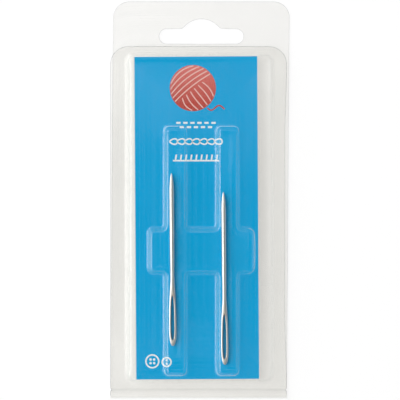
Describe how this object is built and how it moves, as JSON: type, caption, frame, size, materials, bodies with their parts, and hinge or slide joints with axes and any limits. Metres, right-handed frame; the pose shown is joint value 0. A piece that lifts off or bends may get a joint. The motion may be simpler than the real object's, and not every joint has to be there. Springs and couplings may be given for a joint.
{
  "type": "yarn needle pack",
  "caption": "Clear folded clamshell with a hang tab, holding a printed card and blunt long-eyed steel yarn needles loose in two channels.",
  "frame": {"origin": "under the middle of the pack, on the surface its back lies on", "axes": "+X to the right of the pack, +Y towards the hang tab, +Z out of the front, where the needles show"},
  "size_m": [0.0716, 0.1586, 0.0069],
  "materials": {
    "clear_sheet": "clear thermoformed sheet, glossy",
    "printed_card": "coated board, printed blue, white cut edges",
    "plated_steel": "nickel plated, fine drawing lines along the wire"
  },
  "bodies": {
    "pack_back": {"back_shell": "clear_sheet", "hinge_web": "clear_sheet"},
    "pack_front": {"front_shell": "clear_sheet"},
    "loose_card": {"card": "printed_card"},
    "left_needle": {"needle_left": "plated_steel"},
    "right_needle": {"needle_right": "plated_steel"}
  },
  "joints": [
    {"name": "front_fold", "type": "hinge", "parent": "pack_back", "child": "pack_front", "pos_m": [0, -0.07843, 0.00045], "axis": [1, 0, 0], "range_deg": [0, 145], "deforming": ["hinge_web"]},
    {"name": "card_slide", "type": "slide", "parent": "pack_back", "child": "loose_card", "axis": [1, 0, 0], "range_m": [-0.0007, 0.0034]},
    {"name": "left_needle_slide", "type": "slide", "parent": "pack_back", "child": "left_needle", "axis": [0, 1, 0], "range_m": [-0.0105, 0.0181]},
    {"name": "right_needle_slide", "type": "slide", "parent": "pack_back", "child": "right_needle", "axis": [0, 1, 0], "range_m": [-0.003, 0.0256]}
  ]
}
